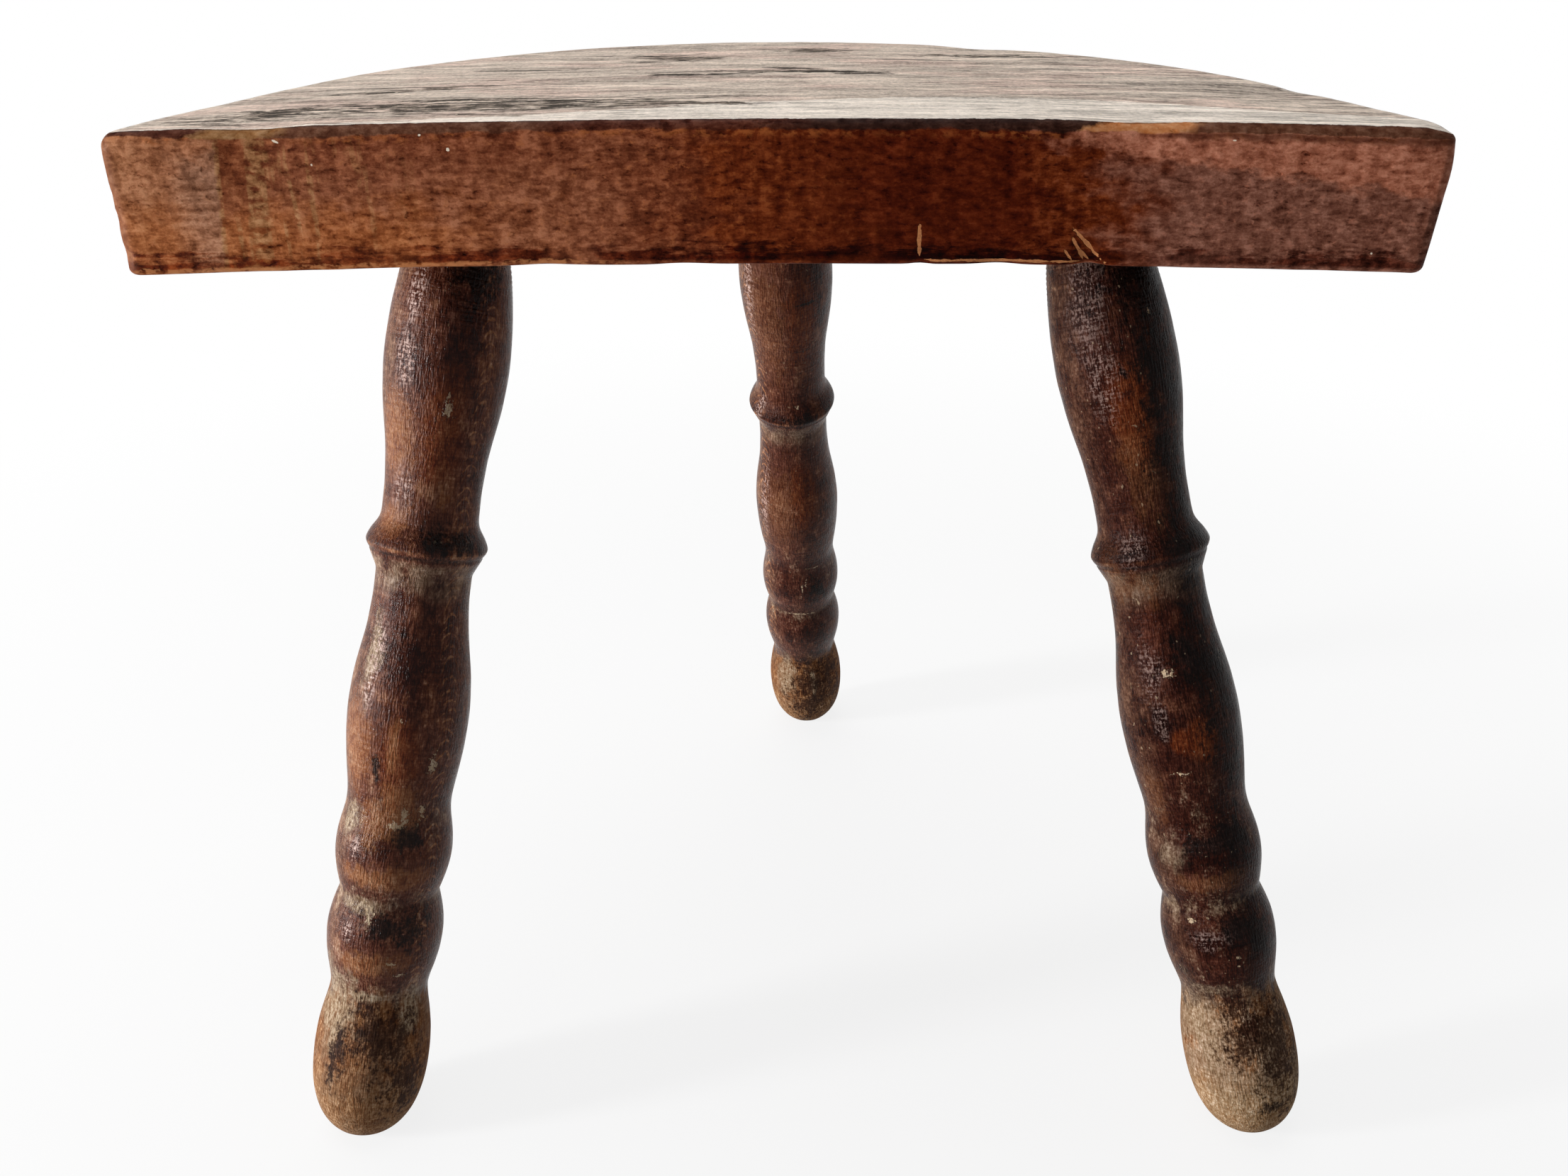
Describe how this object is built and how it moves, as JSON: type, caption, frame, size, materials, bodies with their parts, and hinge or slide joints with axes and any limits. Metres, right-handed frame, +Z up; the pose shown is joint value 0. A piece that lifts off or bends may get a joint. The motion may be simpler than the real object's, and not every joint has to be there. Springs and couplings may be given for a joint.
{
  "type": "milking stool",
  "caption": "Low three-legged milking stool: a thick D-shaped plank seat with a straight front edge on splayed, bead-turned wooden legs set in blind mortises.",
  "frame": {"origin": "on the floor, under the middle of the stool's bounding box", "axes": "+Z up; the straight front edge of the seat runs along X and faces -Y; +X is to the right seen from the front"},
  "size_m": [0.306, 0.2518, 0.2876],
  "materials": {
    "seat_wood": "bare weathered grey top, worn red-brown stain and varnish on the edges",
    "leg_wood": "worn satin red-brown stain, bare at the feet"
  },
  "bodies": {
    "root": {"seat_board": "seat_wood", "leg_front_left": "leg_wood", "leg_front_right": "leg_wood", "leg_rear": "leg_wood"}
  },
  "joints": []
}
